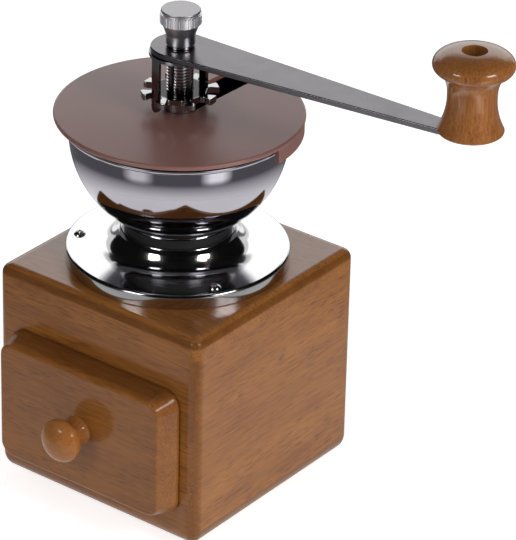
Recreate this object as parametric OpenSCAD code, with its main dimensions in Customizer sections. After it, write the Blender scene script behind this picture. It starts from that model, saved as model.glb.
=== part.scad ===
// Burr coffee grinder: a wooden box with a drawer, a plated throat and bowl,
// a conical burr set on a vertical shaft, and a crank on top.
// The origin is on the shaft's axis, on the surface that the box stands on.
// The drawer opens along -Y and the crank points near +X.

/* [Box] */
// Width of the wooden box, along X
box_w = 116; // [100:1:140]
// Depth of the wooden box, along Y
box_d = 117; // [100:1:140]
// Height of the wooden box, without its feet
box_h = 108.5; // [100:0.5:125]
// Thickness of the four side boards
wall_t = 9; // [7:0.5:11]
// Thickness of the top board
top_t = 10; // [8:0.5:12]
// Thickness of the base board
base_t = 9; // [9:0.5:12]
// Rounding of the upright edges
edge_r = 5; // [2:0.5:7]
// Rounding of the top edges
top_r = 5; // [2:0.5:7]
// Rounding of the bottom edges
base_r = 9; // [3:0.5:9]
// Radius of one rubber foot
foot_r = 7; // [4:0.5:10]
// Height of the feet below the base board
foot_h = 1.5; // [1:0.5:4]
// Distance of a foot's centre from the edges of the box
foot_inset = 20; // [17:1:30]

/* [Drawer] */
// Distance from each side of the box to the raised drawer front
front_side = 9; // [8.5:0.5:12]
// Height of the raised drawer front
front_h = 64; // [63:0.5:68]
// How far the drawer front stands proud of the box
front_t = 12.5; // [8:0.1:14]
// Width of the slope round the drawer front
front_bevel = 3; // [2:0.5:6]
// Thickness of the drawer front's edge, behind the slope
front_lip = 1.8; // [1:0.1:3]
// Corner radius of the drawer front
front_r = 8.5; // [5:0.5:12]
// Height of the drawer front's lower edge above the base of the box
front_rise = 16; // [12:0.5:18]
// How far the drawer front overlaps its opening at each side
front_lap = 6; // [4:0.5:8]
// How far the drawer front overlaps its opening above and below
front_lap_z = 3.5; // [2:0.5:5]
// Thickness of the drawer's sides and back
drawer_wall = 4; // [3:0.5:6]
// Thickness of the drawer's bottom
drawer_floor = 3; // [2:0.5:5]
// Room between the drawer's back and the back board
drawer_back_room = 5.3; // [2:0.1:20]
// Height of the drawer's sides
drawer_h = 52; // [40:1:55]
// Height of the drawer's bottom above the lower edge of its sides
drawer_floor_rise = 2.5; // [1:0.5:5]
// Width of the ledge that each runner puts under the drawer
runner_ledge = 8; // [5:0.5:12]
// Height of the runners' guides above the ledge
runner_guide_h = 14; // [8:1:25]
// Radius of the drawer knob's head
pull_r = 10.3; // [8:0.1:13]
// Radius of the drawer knob's stem
pull_stem_r = 5.6; // [4:0.1:7]
// Length of the drawer knob
pull_l = 18; // [15:0.5:24]
// Radius of the drawer knob's screw
pull_screw_r = 2; // [1.5:0.1:3]

/* [Throat] */
// Radius of the flange
flange_r = 51.5; // [48:0.5:54]
// Thickness of the flange
flange_t = 6.8; // [5:0.1:9]
// Rounding of the flange's upper edge
flange_edge_r = 1.6; // [0.5:0.1:3]
// Radius of the neck
neck_r = 27; // [26:0.5:32]
// Height of the neck above the flange
neck_h = 9.5; // [8:0.5:16]
// Radius of the hollow between flange and neck
neck_fillet = 6; // [3:0.5:8]
// Radius of the throat's mouth
mouth_r = 18.5; // [17:0.1:19]
// Radius of the spigot below the flange
spigot_r = 30; // [28:0.5:33]
// How far the spigot reaches below the top board
spigot_drop = 4; // [1:0.5:8]
// Radius of the circle of flange screws
flange_screw_pcd_r = 45.5; // [42:0.5:47]
// Radius of the screws in metal and wood
screw_r = 1.5; // [1:0.1:2]
// Radius of a screw's head
screw_head_r = 2.8; // [2.2:0.1:3.4]
// Height of a screw's head
screw_head_h = 1.7; // [1:0.1:2.5]
// Length of the flange screws below their heads
flange_screw_l = 15; // [10:0.5:16]

/* [Bowl] */
// Thickness of the gasket below the bowl
gasket_t = 5; // [2:0.1:6]
// Radius of the gasket
gasket_r = 24.6; // [24:0.1:26]
// Radius of the bowl's round body
bowl_r = 50; // [46:0.5:52]
// Radius of the bowl's foot ring
bowl_foot_r = 26.5; // [25:0.5:30]
// Height of the bowl's foot ring
bowl_foot_h = 1; // [0.5:0.1:3]
// Height of the upright wall below the bead
bowl_straight = 4.9; // [3:0.1:9]
// Thickness of the bowl's sheet metal
bowl_t = 1.2; // [0.8:0.1:2]
// Radius of the rolled bead
bead_r = 2; // [1.2:0.1:3]
// How far the bead's centre lies outside the wall
bead_out = 1.6; // [0.5:0.1:2.5]
// Width of the bridge's metal strip
bridge_w = 12; // [9:0.5:14]
// Thickness of the bridge's metal strip
bridge_t = 2.5; // [1.5:0.1:3]
// Wall of the bridge's round eye, outside the bush
bridge_eye = 2.5; // [2:0.5:4]
// Distance of each bridge leg's outer face from the axis
bridge_leg_x = 18; // [15:0.5:18]
// Distance of the bridge screws from the axis
bridge_screw_x = 21.2; // [20.5:0.1:21.5]
// Length of the bridge screws below their heads
bridge_screw_l = 12; // [8:0.5:15]
// Drop of the bridge's top below the bead's centre
bridge_drop = 1.1; // [0.5:0.1:6]

/* [Lid] */
// Radius of the lid
lid_r = 56.8; // [55:0.1:60]
// Thickness of the lid's rim
lid_t = 2.3; // [1.5:0.1:4]
// Rise of the lid from its rim to its centre
lid_dome = 1.3; // [0:0.1:3]
// Depth of the skirt below the lid
skirt_h = 6.5; // [4:0.5:9]
// Thickness of the skirt
skirt_t = 2.3; // [1.5:0.1:2.6]
// Gap between the slot's round end and the bush
slot_gap = 0.3; // [0.2:0.05:1]

/* [Burrs] */
// Radius of the burr ring
ring_r = 23.5; // [22:0.1:24]
// Height of the burr ring
ring_h = 22; // [18:0.5:26]
// Number of the ring's teeth
ring_teeth = 30; // [18:1:40]
// Depth of the ring's teeth
ring_tooth = 1.3; // [0.6:0.1:2]
// Widening of the ring's hollow from top to bottom
ring_flare = 2.4; // [1:0.1:4]
// Radius of the cone burr at its base
cone_r = 18.6; // [17:0.1:19]
// Radius of the cone burr at its top
cone_top_r = 9; // [8.5:0.1:11]
// Height of the cone burr
cone_h = 18; // [15:0.5:20]
// Number of the cone's teeth
cone_teeth = 20; // [12:1:30]
// Depth of the cone's teeth at its base
cone_tooth = 1.8; // [0.8:0.1:2.5]
// Turn of the teeth over the burr's height, in degrees
tooth_twist = 28; // [0:1:45]
// How far the cone hangs below the ring at the coarse stop
cone_drop = 3; // [2.5:0.1:4]
// Gap between the burrs at the fine stop
fine_gap = 0.3; // [0.2:0.05:0.6]
// Thickness of the plate that holds the ring in
retainer_t = 4; // [2:0.5:5]
// Depth of the plate's screws in the throat
retainer_bite = 8; // [5:0.5:12]

/* [Shaft] */
// Radius of the shaft's threaded part
thread_r = 6; // [5:0.1:6.5]
// Radius of the shaft's plain part
shank_r = 5; // [4.5:0.1:5.5]
// Radius of the shaft's ends
stud_r = 4; // [3.2:0.1:4.4]
// Length of the shaft's threaded part below the star nut
thread_below = 19; // [16:1:30]
// Wall of the upper bush
bush_wall = 1.15; // [1:0.05:2]
// Height of the upper bush above the lid's centre
bush_rise = 5.1; // [3:0.1:8]
// Wall of the lower bush
low_bush_wall = 2; // [1.5:0.1:3]
// Height of the guide's ring and arms
guide_t = 4; // [3:0.5:5]
// Width of the guide's arms
guide_arm_w = 4; // [3:0.5:6]
// Thickness of the spring's wire
wire_d = 1; // [0.6:0.1:1.2]
// Number of the spring's turns
spring_turns = 4; // [3:0.5:4]
// Travel of the shaft from coarse to fine
adjust_travel = 1.5; // [1:0.1:1.5]

/* [Star nut] */
// Radius of the star nut
star_r = 17.7; // [16:0.1:19]
// Thickness of the star nut
star_t = 3; // [2:0.1:4]
// Number of the star nut's notches
star_notches = 8; // [6:1:8]
// Depth of the notches
notch_depth = 5.5; // [5.4:0.1:6.5]
// Corner radius of the notches
notch_corner = 1.5; // [0.5:0.1:2.5]
// Width of the notches
notch_w = 7.6; // [6.5:0.1:8]
// Thickness of the washer below the star nut
thrust_t = 0.8; // [0.5:0.1:1.5]

/* [Crank] */
// Distance from the shaft to the crank knob
arm_l = 149; // [100:1:170]
// Thickness of the crank arm
arm_t = 2.7; // [2:0.1:4]
// Radius of the arm's hub end
arm_hub_r = 13.4; // [11:0.1:15]
// Radius of the arm's knob end
arm_end_r = 4.6; // [4.4:0.1:9]
// Turn of the crank from +X, in degrees
crank_angle = 4.5; // [0:0.5:90]
// Free height between the star nut and the stop plate
stop_room = 17.3; // [10:0.1:22]
// Thickness of the stop plate
stop_t = 1.5; // [1:0.1:2]
// Radius of the stop plate
stop_r = 14.1; // [13:0.1:15]
// Width of each finger of the stop plate
finger_w = 5; // [3:0.1:5.5]
// Reach of the fingers below the star nut's top
finger_reach = 8; // [4:0.1:8]
// Height of the cap nut
cap_h = 16.6; // [12:0.1:20]
// Radius of the cap nut's neck
cap_neck_r = 6.4; // [5.6:0.1:7]
// Radius of the cap nut's grip
cap_grip_r = 9.4; // [8:0.1:11]
// Number of the grip's ribs
cap_ribs = 36; // [24:1:48]

/* [Crank knob] */
// Height of the crank knob
knob_h = 38; // [32:1:48]
// Radius of the crank knob's head
knob_head_r = 17.8; // [15:0.1:20]
// Radius of the crank knob's waist
knob_waist_r = 10.8; // [9:0.1:13]
// Radius of the crank knob's base
knob_base_r = 14.5; // [12:0.1:17]
// Radius of the counterbore in the knob's top
knob_bore_r = 5.3; // [4.8:0.1:6.5]
// Depth of the counterbore
knob_bore_h = 9; // [5:0.5:14]
// Radius of the knob's pin
pin_r = 3; // [2:0.1:3.5]

/* [Fits] */
// Gap between pieces that move past each other
move_gap = 0.3; // [0.2:0.05:0.4]
// Radial clearance of a shaft in its bush
fit = 0.05; // [0.02:0.01:0.1]

/* [Hidden] */
$fn = 96;
eps = 0.01;
disc_h = 0.12;

// Levels, from the ground up
box_z0 = foot_h;
floor_z = box_z0 + base_t;
box_z1 = box_z0 + box_h;
ceiling_z = box_z1 - top_t;
flange_z1 = box_z1 + flange_t;
neck_z1 = flange_z1 + neck_h;
bowl_z0 = neck_z1 + gasket_t;
bowl_c = bowl_z0 + bowl_foot_h + sqrt(pow(bowl_r, 2) - pow(bowl_foot_r, 2));
bead_z = bowl_c + bowl_straight;
lid_z0 = bead_z + bead_r + move_gap;
lid_z1 = lid_z0 + lid_t;
bush_z1 = lid_z1 + lid_dome + bush_rise;
thrust_z0 = bush_z1 + move_gap;
star_z0 = thrust_z0 + thrust_t;
star_z1 = star_z0 + star_t;
stop_z0 = star_z1 + stop_room;
arm_z0 = stop_z0 + stop_t;
arm_z1 = arm_z0 + arm_t;

// Drawer and its opening
front_w = box_w - 2 * front_side;
front_z0 = box_z0 + front_rise;
open_z0 = front_z0 + front_lap_z;
open_z1 = front_z0 + front_h - front_lap_z;
open_x = front_w / 2 - front_lap;
face_y = -box_d / 2;
drawer_y0 = face_y - move_gap;
drawer_l = box_d / 2 - wall_t - drawer_back_room - drawer_y0;
drawer_z0 = open_z0 + move_gap;
drawer_x = open_x - move_gap;
drawer_floor_z = drawer_z0 + drawer_floor_rise;
pull_z = front_z0 + front_h / 2;
pull_y = drawer_y0 - front_t;

// Burrs
spigot_z0 = ceiling_z - spigot_drop;
ring_z0 = spigot_z0;
ring_z1 = ring_z0 + ring_h;
cone_z0 = ring_z0 - cone_drop;
cone_z1 = cone_z0 + cone_h;
cone_slope = (cone_r - cone_top_r) / cone_h;
ring_in_r = cone_r - cone_slope * (cone_drop - adjust_travel) + fine_gap;
cup_t = 1;
nut_t = 5;
washer_t = 1;

// Guide and lower bush
guide_z1 = neck_z1;
guide_z0 = guide_z1 - guide_t;
low_bush_r = shank_r + fit + low_bush_wall;
hub_wall = 2;
flange_lip = 1.5;
low_bush_z0 = ring_z1 + 0.5;

// Upper bush and bridge
bush_r = thread_r + fit + bush_wall;
bridge_z1 = bead_z - bridge_drop;
bridge_z0 = bridge_z1 - bridge_t;
bush_flange_t = 2.5;
bridge_foot_x = bridge_screw_x + screw_head_r / 1.5;

// Lid
skirt_r = bowl_r + bead_out + bead_r + 1.2 * move_gap;
slot_r = bush_r + slot_gap;

// Crank
flat_x = 0.78 * shank_r;
notch_phase = 25.5;
finger_notch = 5;
cap_z0 = arm_z1 + 1.5 * move_gap + 0.6;
knob_washer_t = 0.3;
knob_z0 = arm_z1 + knob_washer_t + move_gap;

// ---------- Shapes that several pieces share ----------

// Four thin discs at the corners of a rectangle, for a hull to join
module corner_discs(w, d, r) {
    for (x = [-1, 1], y = [-1, 1]) translate([x * (w / 2 - r), y * (d / 2 - r), 0])
        cylinder(r = r, h = disc_h, $fn = 36);
}

// The outside of the wooden box, with all its edges rounded
module box_envelope() {
    steps = 6;
    hull() for (i = [0 : steps]) {
        a = 90 * i / steps;
        translate([0, 0, box_z0 + base_r * (1 - cos(a))]) box_outline(base_r * (1 - sin(a)));
        translate([0, 0, box_z1 - top_r * (1 - cos(a)) - disc_h]) box_outline(top_r * (1 - sin(a)));
    }
}

// The box's outline, drawn in by a distance
module box_outline(inset) {
    corner_discs(box_w - 2 * inset, box_d - 2 * inset, max(edge_r - inset, 0.8));
}

// The space of one upright board on the -Y side, cut to mitres at its ends
module mitre_zone(w, d) {
    translate([0, 0, floor_z]) linear_extrude(ceiling_z - floor_z)
        polygon([[-w / 2, -d / 2], [w / 2, -d / 2], [w / 2 - wall_t, -d / 2 + wall_t],
            [-w / 2 + wall_t, -d / 2 + wall_t]]);
}

// A screw with a low round head and a cross recess; its seat is at the origin
module pan_screw(l) {
    ball_r = (pow(screw_head_r, 2) + pow(screw_head_h, 2)) / (2 * screw_head_h);
    translate([0, 0, -l]) cylinder(r = screw_r, h = l + eps, $fn = 32);
    difference() {
        intersection() {
            translate([0, 0, screw_head_h - ball_r]) sphere(ball_r, $fn = 48);
            cylinder(r = screw_head_r + 1, h = 2 * screw_head_h, $fn = 48);
        }
        for (a = [0, 90]) rotate(a)
            translate([-screw_head_r * 0.6, -0.35, screw_head_h * 0.45])
                cube([screw_head_r * 1.2, 0.7, screw_head_h]);
    }
}

// Repeats a piece round the axis
module around(n, r, start = 0) {
    for (i = [0 : n - 1]) rotate(start + i * 360 / n) translate([r, 0, 0]) children();
}

// One ring of saw teeth; the points lie between two radii
function saw(n, r_root, r_tip) = [for (i = [0 : n - 1], k = [0 : 2])
    let (a = (i + [0, 0.72, 0.86][k]) * 360 / n, r = [r_root, r_tip, r_tip][k]) [r * cos(a), r * sin(a)]];

// ---------- Wooden box ----------

module top_board() {
    color("#7a5230") difference() {
        intersection() {
            box_envelope();
            translate([-box_w, -box_d, ceiling_z]) cube([2 * box_w, 2 * box_d, top_t + 1]);
        }
        translate([0, 0, ceiling_z - 1]) cylinder(r = spigot_r, h = top_t + 2);
        around(3, flange_screw_pcd_r, 90)
            translate([0, 0, flange_z1 - flange_screw_l]) cylinder(r = screw_r, h = flange_screw_l, $fn = 32);
    }
}

module base_board() {
    color("#7a5230") intersection() {
        box_envelope();
        translate([-box_w, -box_d, box_z0 - 1]) cube([2 * box_w, 2 * box_d, base_t + 1]);
    }
}

module front_board() {
    color("#7a5230") difference() {
        intersection() {
            box_envelope();
            mitre_zone(box_w, box_d);
        }
        translate([-open_x, face_y - 1, open_z0]) cube([2 * open_x, wall_t + 2, open_z1 - open_z0]);
    }
}

module back_board() {
    color("#7a5230") intersection() {
        box_envelope();
        rotate(180) mitre_zone(box_w, box_d);
    }
}

module left_board() {
    color("#7a5230") intersection() {
        box_envelope();
        rotate(-90) mitre_zone(box_d, box_w);
    }
}

module right_board() {
    color("#a06a38") intersection() {
        box_envelope();
        rotate(90) mitre_zone(box_d, box_w);
    }
}

// A runner: a ledge under the drawer and a guide beside it
module runner(side) {
    inner_y = box_d / 2 - wall_t;
    wall_x = box_w / 2 - wall_t;
    color("#b08a5a") translate([0, inner_y, 0]) rotate([90, 0, 0]) linear_extrude(2 * inner_y)
        polygon([for (p = [[wall_x, floor_z], [wall_x, open_z0 + runner_guide_h],
            [open_x, open_z0 + runner_guide_h], [open_x, open_z0],
            [open_x - runner_ledge, open_z0], [open_x - runner_ledge, floor_z]]) [side * p[0], p[1]]]);
}

module runner_left() { runner(-1); }

module runner_right() { runner(1); }

module feet() {
    color("#222222") for (x = [-1, 1], y = [-1, 1])
        translate([x * (box_w / 2 - foot_inset), y * (box_d / 2 - foot_inset), 0]) {
            cylinder(r1 = foot_r - 0.6, r2 = foot_r, h = 0.6);
            translate([0, 0, 0.6]) cylinder(r = foot_r, h = foot_h - 0.6);
        }
}

// ---------- Drawer ----------

module drawer_front() {
    color("#7a5230") difference() {
        translate([0, drawer_y0, front_z0 + front_h / 2]) rotate([90, 0, 0]) hull() {
            corner_discs(front_w, front_h, front_r);
            translate([0, 0, front_lip]) corner_discs(front_w, front_h, front_r);
            translate([0, 0, front_t - disc_h])
                corner_discs(front_w - 2 * front_bevel, front_h - 2 * front_bevel, front_r - front_bevel + 1);
        }
        translate([0, drawer_y0 + 1, pull_z]) rotate([90, 0, 0])
            cylinder(r = pull_screw_r, h = front_t + 2, $fn = 32);
    }
}

module drawer_side(side) {
    color("#c9a36e") difference() {
        translate([side > 0 ? drawer_x - drawer_wall : -drawer_x, drawer_y0, drawer_z0])
            cube([drawer_wall, drawer_l, drawer_h]);
        translate([-drawer_x + drawer_wall / 2, drawer_y0 - 1, drawer_floor_z])
            cube([2 * drawer_x - drawer_wall, drawer_l + 2, drawer_floor]);
    }
}

module drawer_side_left() { drawer_side(-1); }

module drawer_side_right() { drawer_side(1); }

module drawer_back() {
    color("#c9a36e")
        translate([drawer_wall - drawer_x, drawer_y0 + drawer_l - drawer_wall,
            drawer_floor_z + drawer_floor])
            cube([2 * (drawer_x - drawer_wall), drawer_wall, drawer_h - drawer_floor_rise - drawer_floor]);
}

module drawer_bottom() {
    color("#c9a36e") translate([-drawer_x + drawer_wall / 2, drawer_y0, drawer_floor_z])
        cube([2 * drawer_x - drawer_wall, drawer_l, drawer_floor]);
}

// The drawer's mushroom knob, turned about its own axis
module drawer_knob() {
    head_l = pull_r * 1.15;
    neck = pull_l - head_l;
    color("#9a6030") difference() {
        translate([0, pull_y, pull_z]) rotate([90, 0, 0]) rotate_extrude()
            polygon(concat([[0, 0], [pull_stem_r + 1.6, 0]],
                [for (i = [1 : 4]) let (t = i / 4) [pull_stem_r + 1.6 * pow(1 - t, 2), neck * t * 0.9]],
                [for (i = [0 : 18]) let (a = -68 + i * 158 / 18)
                    [max(pull_r * cos(a), 0), neck + head_l * 0.45 + head_l * 0.55 * sin(a)]]));
        translate([0, pull_y + 1, pull_z]) rotate([90, 0, 0])
            cylinder(r = pull_screw_r, h = pull_l * 0.6 + 1, $fn = 32);
    }
}

module drawer_knob_screw() {
    color("silver") translate([0, drawer_y0, pull_z]) rotate([90, 0, 0]) {
        cylinder(r = pull_screw_r, h = front_t + pull_l * 0.5, $fn = 32);
        translate([0, 0, -1.8]) cylinder(r = 2 * pull_screw_r, h = 1.8, $fn = 32);
    }
}

// ---------- Throat and bowl ----------

module throat_casting() {
    f = neck_fillet;
    e = flange_edge_r;
    rim = 1.5;
    color("#c8ccd0") difference() {
        rotate_extrude() polygon(concat(
            [[mouth_r, neck_z1], [mouth_r, ring_z1], [ring_r, ring_z1], [ring_r, spigot_z0],
                [spigot_r, spigot_z0], [spigot_r, box_z1], [flange_r, box_z1]],
            [for (i = [0 : 6]) let (a = i * 15)
                [flange_r - e + e * cos(a), flange_z1 - e + e * sin(a)]],
            [for (i = [0 : 9]) let (a = i * 10)
                [neck_r + f - f * sin(a), flange_z1 + f - f * cos(a)]],
            [for (i = [0 : 6]) let (a = i * 15)
                [neck_r - rim + rim * cos(a), neck_z1 - rim + rim * sin(a)]]));
        around(3, flange_screw_pcd_r, 90)
            translate([0, 0, box_z1 - 1]) cylinder(r = screw_r, h = flange_t + 2, $fn = 32);
        around(2, bridge_screw_x)
            translate([0, 0, neck_z1 - bridge_screw_l])
                cylinder(r = screw_r, h = bridge_screw_l + 1, $fn = 32);
        around(3, retainer_screw_r, 30)
            translate([0, 0, spigot_z0 - 1]) cylinder(r = screw_r, h = retainer_bite + 1, $fn = 32);
    }
}

module flange_screws() {
    color("#dfe2e5") around(3, flange_screw_pcd_r, 90) translate([0, 0, flange_z1]) pan_screw(flange_screw_l);
}

module bowl_gasket() {
    color("#1c1c1e") difference() {
        translate([0, 0, neck_z1]) cylinder(r = gasket_r, h = gasket_t);
        translate([0, 0, neck_z1 - 1]) cylinder(r = mouth_r, h = gasket_t + 2);
        around(2, bridge_screw_x)
            translate([0, 0, neck_z1 - 1]) cylinder(r = screw_r, h = gasket_t + 2, $fn = 32);
    }
}

// The spun bowl: foot ring, round body, upright wall and rolled bead
module bowl() {
    a0 = asin(bowl_foot_r / bowl_r);
    ri = bowl_r - bowl_t;
    z_in = bowl_z0 + bowl_t;
    a1 = acos((bowl_c - z_in) / ri);
    n = 24;
    color("#9fa3a8") difference() {
        rotate_extrude() {
            polygon(concat(
                [[mouth_r, bowl_z0], [bowl_foot_r, bowl_z0]],
                [for (i = [0 : n]) let (a = a0 + (90 - a0) * i / n)
                    [bowl_r * sin(a), bowl_c - bowl_r * cos(a)]],
                [[bowl_r, bead_z], [ri, bead_z]],
                [for (i = [0 : n]) let (a = 90 - (90 - a1) * i / n)
                    [ri * sin(a), bowl_c - ri * cos(a)]],
                [[mouth_r, z_in]]));
            translate([bowl_r + bead_out, bead_z]) circle(bead_r, $fn = 48);
            translate([ri, bead_z]) square([bowl_t + bead_out, bead_r]);
        }
        around(2, bridge_screw_x)
            translate([0, 0, bowl_z0 - 1]) cylinder(r = screw_r, h = bowl_t + 2, $fn = 32);
    }
}

// The bridge that carries the upper bush: a strip with a round eye, two legs and two feet
module bridge() {
    foot_z = bowl_z0 + bowl_t;
    leg_in = bridge_leg_x - bridge_t;
    color("#8f9398") difference() {
        union() {
            translate([0, 0, bridge_z0]) cylinder(r = bush_r + bridge_eye, h = bridge_t);
            translate([0, bridge_w / 2, 0]) rotate([90, 0, 0]) linear_extrude(bridge_w)
                polygon([[bridge_foot_x, foot_z], [bridge_foot_x, foot_z + bridge_t],
                    [bridge_leg_x, foot_z + bridge_t],
                    [bridge_leg_x, bridge_z1], [-bridge_leg_x, bridge_z1], [-bridge_leg_x, foot_z + bridge_t],
                    [-bridge_foot_x, foot_z + bridge_t], [-bridge_foot_x, foot_z], [-leg_in, foot_z],
                    [-leg_in, bridge_z0], [leg_in, bridge_z0], [leg_in, foot_z]]);
        }
        translate([0, 0, bridge_z0 - 1]) cylinder(r = bush_r, h = bridge_t + 2);
        around(2, bridge_screw_x)
            translate([0, 0, foot_z - 1]) cylinder(r = screw_r, h = bridge_t + 2, $fn = 32);
    }
}

module bridge_screws() {
    color("#dfe2e5") around(2, bridge_screw_x)
        translate([0, 0, bowl_z0 + bowl_t + bridge_t]) pan_screw(bridge_screw_l);
}

module upper_bush() {
    color("#b9bcc0") difference() {
        union() {
            translate([0, 0, bridge_z0 - bush_flange_t]) cylinder(r = bush_r + 2, h = bush_flange_t);
            translate([0, 0, bridge_z0 - eps]) cylinder(r = bush_r, h = bush_z1 - bridge_z0 + eps);
        }
        translate([0, 0, bridge_z0 - bush_flange_t - 1])
            cylinder(r = thread_r + fit, h = bush_z1 - bridge_z0 + bush_flange_t + 2);
    }
}

// ---------- Burrs ----------

retainer_screw_r = (ring_r + spigot_r) / 2;

// The ring burr: helical saw teeth in a hollow that widens downwards
module burr_ring() {
    top_scale = (ring_in_r - ring_flare) / ring_in_r;
    color("#f1efe8") difference() {
        translate([0, 0, ring_z0]) cylinder(r = ring_r, h = ring_h);
        translate([0, 0, ring_z0 - eps])
            linear_extrude(ring_h + 2 * eps, twist = -tooth_twist, scale = top_scale, slices = 12)
                polygon(saw(ring_teeth, ring_in_r + ring_tooth, ring_in_r));
    }
}

// The cone burr: helical saw teeth that run together towards the top
module cone_burr() {
    color("#f1efe8") difference() {
        translate([0, 0, cone_z0])
            linear_extrude(cone_h, twist = tooth_twist, scale = cone_top_r / cone_r, slices = 16)
                polygon(saw(cone_teeth, cone_r - cone_tooth, cone_r));
        translate([0, 0, cone_z0 - 1]) cylinder(r = stud_r, h = cone_h + 2, $fn = 48);
    }
}

module cone_washer() {
    color("silver") difference() {
        translate([0, 0, cone_z0 - washer_t]) cylinder(r = 2 * stud_r, h = washer_t, $fn = 48);
        translate([0, 0, cone_z0 - washer_t - 1]) cylinder(r = stud_r, h = washer_t + 2, $fn = 48);
    }
}

module cone_nut() {
    color("silver") difference() {
        translate([0, 0, cone_z0 - washer_t - nut_t]) cylinder(r = 1.75 * stud_r, h = nut_t, $fn = 6);
        translate([0, 0, cone_z0 - washer_t - nut_t - 1]) cylinder(r = stud_r, h = nut_t + 2, $fn = 48);
    }
}

module spring_cup() {
    color("silver") difference() {
        translate([0, 0, cone_z1]) cylinder(r = cone_top_r - 0.6, h = cup_t, $fn = 64);
        translate([0, 0, cone_z1 - 1]) cylinder(r = stud_r, h = cup_t + 2, $fn = 48);
    }
}

// The coil spring between the cup and the lower bush, swept along a helix
module burr_spring() {
    z0 = cone_z1 + cup_t + wire_d / 2;
    z1 = low_bush_z0 - move_gap - wire_d / 2;
    r = shank_r + 0.4 + wire_d / 2;
    sides = 8;
    rings = 18 * spring_turns;
    pts = [for (i = [0 : rings], k = [0 : sides - 1])
        let (a = 360 * spring_turns * i / rings, b = 360 * k / sides, q = r + wire_d / 2 * cos(b))
            [q * cos(a), q * sin(a), z0 + (z1 - z0) * i / rings + wire_d / 2 * sin(b)]];
    tube = [for (i = [0 : rings - 1], k = [0 : sides - 1])
        let (a = i * sides + k, b = i * sides + (k + 1) % sides) [a, a + sides, b + sides, b]];
    ends = [[for (k = [0 : sides - 1]) k], [for (k = [sides - 1 : -1 : 0]) rings * sides + k]];
    color("#c0c4c8") polyhedron(pts, concat(tube, ends));
}

module ring_retainer() {
    inner = cone_r + 1.6;
    color("#a9adb2") difference() {
        translate([0, 0, spigot_z0 - retainer_t]) cylinder(r = spigot_r - 0.5, h = retainer_t);
        translate([0, 0, spigot_z0 - retainer_t - 1]) cylinder(r = inner, h = retainer_t + 2);
        around(3, retainer_screw_r, 30)
            translate([0, 0, spigot_z0 - retainer_t - 1]) cylinder(r = screw_r, h = retainer_t + 2, $fn = 32);
    }
}

module retainer_screws() {
    color("#dfe2e5") around(3, retainer_screw_r, 30)
        translate([0, 0, spigot_z0 - retainer_t]) rotate([180, 0, 0]) pan_screw(retainer_t + retainer_bite);
}

// The guide: a ring in the throat's mouth, three arms and a hub
module shaft_guide() {
    hub_r = low_bush_r + hub_wall;
    color("#8f9398") difference() {
        translate([0, 0, guide_z0]) union() {
            difference() {
                cylinder(r = mouth_r, h = guide_t);
                translate([0, 0, -1]) cylinder(r = mouth_r - 2, h = guide_t + 2);
            }
            cylinder(r = hub_r, h = guide_t, $fn = 64);
            for (i = [0 : 2]) rotate(90 + i * 120) translate([hub_r - 1, -guide_arm_w / 2, 0])
                cube([mouth_r - hub_r, guide_arm_w, guide_t]);
        }
        translate([0, 0, guide_z0 - 1]) cylinder(r = low_bush_r, h = guide_t + 2, $fn = 64);
    }
}

module lower_bush() {
    color("#c9a24a") difference() {
        union() {
            translate([0, 0, low_bush_z0])
                cylinder(r = low_bush_r + hub_wall, h = guide_z0 - low_bush_z0, $fn = 64);
            translate([0, 0, guide_z0 - eps]) cylinder(r = low_bush_r, h = guide_t + eps, $fn = 64);
        }
        translate([0, 0, low_bush_z0 - 1])
            cylinder(r = shank_r + fit, h = guide_z1 - low_bush_z0 + 2, $fn = 64);
    }
}

// ---------- Lid ----------

// A shallow dome with a rounded rim, a slot to its back edge and a skirt on its back half
module lid() {
    n = 8;
    rr = lid_t / 2;
    color("#6b4a3f") difference() {
        union() {
            rotate_extrude() polygon(concat(
                [[0, lid_z0 + lid_dome]],
                [for (i = [1 : n]) let (r = (lid_r - rr) * i / n)
                    [r, lid_z0 + lid_dome * (1 - pow(i / n, 2))]],
                [for (i = [1 : 7]) let (a = -90 + i * 22.5)
                    [lid_r - rr + rr * cos(a), lid_z0 + rr + rr * sin(a)]],
                [for (i = [n : -1 : 0]) let (r = (lid_r - rr) * i / n)
                    [r, lid_z1 + lid_dome * (1 - pow(i / n, 2))]]));
            intersection() {
                translate([0, 0, lid_z0 - skirt_h]) difference() {
                    cylinder(r = skirt_r + skirt_t, h = skirt_h + 0.8, $fn = 128);
                    translate([0, 0, -1]) cylinder(r = skirt_r, h = skirt_h + 3, $fn = 128);
                }
                translate([-lid_r - 5, 0, 0]) cube([2 * lid_r + 10, lid_r + 5, 2 * lid_z1]);
            }
        }
        translate([0, 0, lid_z0 - skirt_h - 1]) {
            cylinder(r = slot_r, h = 2 * skirt_h + 10);
            translate([-slot_r, 0, 0]) cube([2 * slot_r, lid_r + 5, 2 * skirt_h + 10]);
        }
    }
}

// ---------- Shaft, star nut and crank ----------

module thrust_washer() {
    color("#c9ccd0") difference() {
        translate([0, 0, thrust_z0]) cylinder(r = bush_r + 1.2, h = thrust_t);
        translate([0, 0, thrust_z0 - 1]) cylinder(r = thread_r + fit, h = thrust_t + 2);
    }
}

module star_nut() {
    w = notch_w / 2;
    color("#c9ccd0") translate([0, 0, star_z0]) difference() {
        cylinder(r = star_r, h = star_t);
        translate([0, 0, -1]) cylinder(r = thread_r + fit, h = star_t + 2);
        around(star_notches, star_r - notch_depth, crank_angle + notch_phase) translate([0, 0, -1]) {
            translate([notch_corner, -w, 0]) cube([notch_depth, notch_w, star_t + 2]);
            translate([0, notch_corner - w, 0])
                cube([2 * notch_corner, notch_w - 2 * notch_corner, star_t + 2]);
            for (s = [-1, 1]) translate([notch_corner, s * (w - notch_corner), 0])
                cylinder(r = notch_corner, h = star_t + 2, $fn = 32);
        }
    }
}

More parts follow.
